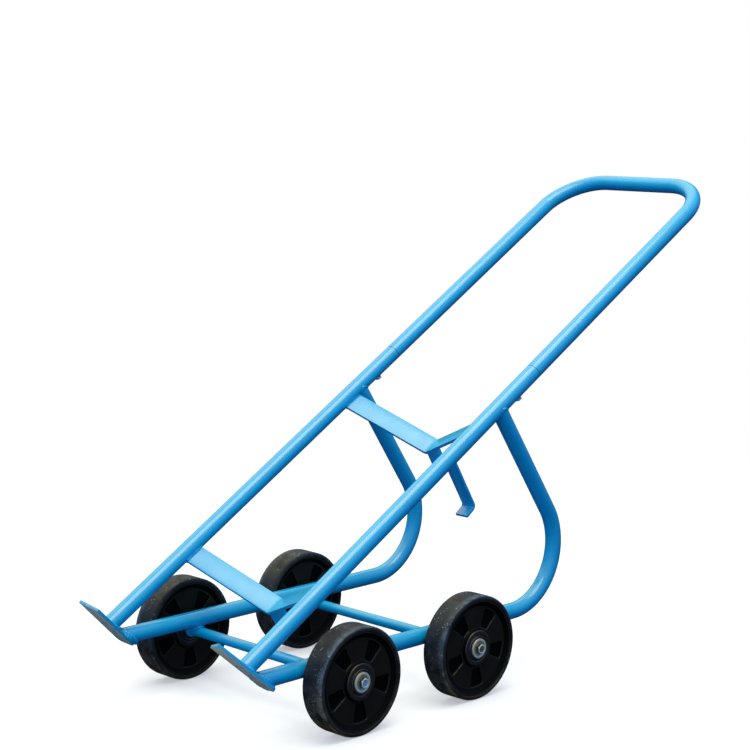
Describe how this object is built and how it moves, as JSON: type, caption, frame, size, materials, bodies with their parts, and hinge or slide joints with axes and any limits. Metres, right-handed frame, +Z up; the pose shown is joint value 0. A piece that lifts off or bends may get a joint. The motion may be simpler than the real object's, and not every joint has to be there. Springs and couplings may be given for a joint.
{
  "type": "drum truck",
  "caption": "Low drum truck: slanted tube rails with a U-shaped push handle, V cross bars, toe plates, a strap hook and solid black wheels on fixed axles",
  "frame": {"origin": "on the floor, under the middle of the truck's bounding box", "axes": "+X points from the toe plates back to the handle, +Z up, and +Y is to the right of the person pushing it"},
  "size_m": [1.392, 0.5448, 0.9482],
  "materials": {
    "blue_paint": "semi-gloss sky blue paint",
    "zinc": "dull zinc plating",
    "bare_steel": "bare drawn steel",
    "bearing_steel": "ground bearing steel",
    "tyre_rubber": "black solid rubber with dust",
    "black_moulding": "black moulded plastic",
    "black_seal": "black nitrile seal"
  },
  "bodies": {
    "frame": {"left_rail": "blue_paint", "right_rail": "blue_paint", "handle_bow": "blue_paint", "left_handle_sleeve": "bare_steel", "right_handle_sleeve": "bare_steel", "handle_screws": "zinc", "left_support_loop": "blue_paint", "right_support_loop": "blue_paint", "left_toe_plate": "blue_paint", "right_toe_plate": "blue_paint", "lower_cross_bar": "blue_paint", "upper_cross_bar": "blue_paint", "lower_gusset": "blue_paint", "upper_gusset": "blue_paint", "strap_hook": "blue_paint", "front_axle": "blue_paint", "rear_axle": "blue_paint", "axle_collars": "blue_paint", "wheel_washers": "zinc", "wheel_bolts": "zinc", "bearing_inner_rings": "bearing_steel", "bearing_spacers": "bare_steel"},
    "front_left_wheel": {"front_left_tyre": "tyre_rubber", "front_left_wheel_centre": "black_moulding", "front_left_outer_rings": "bearing_steel", "front_left_bearing_balls": "bearing_steel", "front_left_bearing_cages": "bare_steel", "front_left_bearing_seals": "black_seal"},
    "front_right_wheel": {"front_right_tyre": "tyre_rubber", "front_right_wheel_centre": "black_moulding", "front_right_outer_rings": "bearing_steel", "front_right_bearing_balls": "bearing_steel", "front_right_bearing_cages": "bare_steel", "front_right_bearing_seals": "black_seal"},
    "rear_left_wheel": {"rear_left_tyre": "tyre_rubber", "rear_left_wheel_centre": "black_moulding", "rear_left_outer_rings": "bearing_steel", "rear_left_bearing_balls": "bearing_steel", "rear_left_bearing_cages": "bare_steel", "rear_left_bearing_seals": "black_seal"},
    "rear_right_wheel": {"rear_right_tyre": "tyre_rubber", "rear_right_wheel_centre": "black_moulding", "rear_right_outer_rings": "bearing_steel", "rear_right_bearing_balls": "bearing_steel", "rear_right_bearing_cages": "bare_steel", "rear_right_bearing_seals": "black_seal"}
  },
  "joints": [
    {"name": "front_left_spin", "type": "hinge", "parent": "frame", "child": "front_left_wheel", "pos_m": [-0.41956, -0.2385, 0.1], "axis": [0, 1, 0], "continuous": true},
    {"name": "front_right_spin", "type": "hinge", "parent": "frame", "child": "front_right_wheel", "pos_m": [-0.41956, 0.2385, 0.1], "axis": [0, 1, 0], "continuous": true},
    {"name": "rear_left_spin", "type": "hinge", "parent": "frame", "child": "rear_left_wheel", "pos_m": [-0.11456, -0.2385, 0.1], "axis": [0, 1, 0], "continuous": true},
    {"name": "rear_right_spin", "type": "hinge", "parent": "frame", "child": "rear_right_wheel", "pos_m": [-0.11456, 0.2385, 0.1], "axis": [0, 1, 0], "continuous": true}
  ]
}
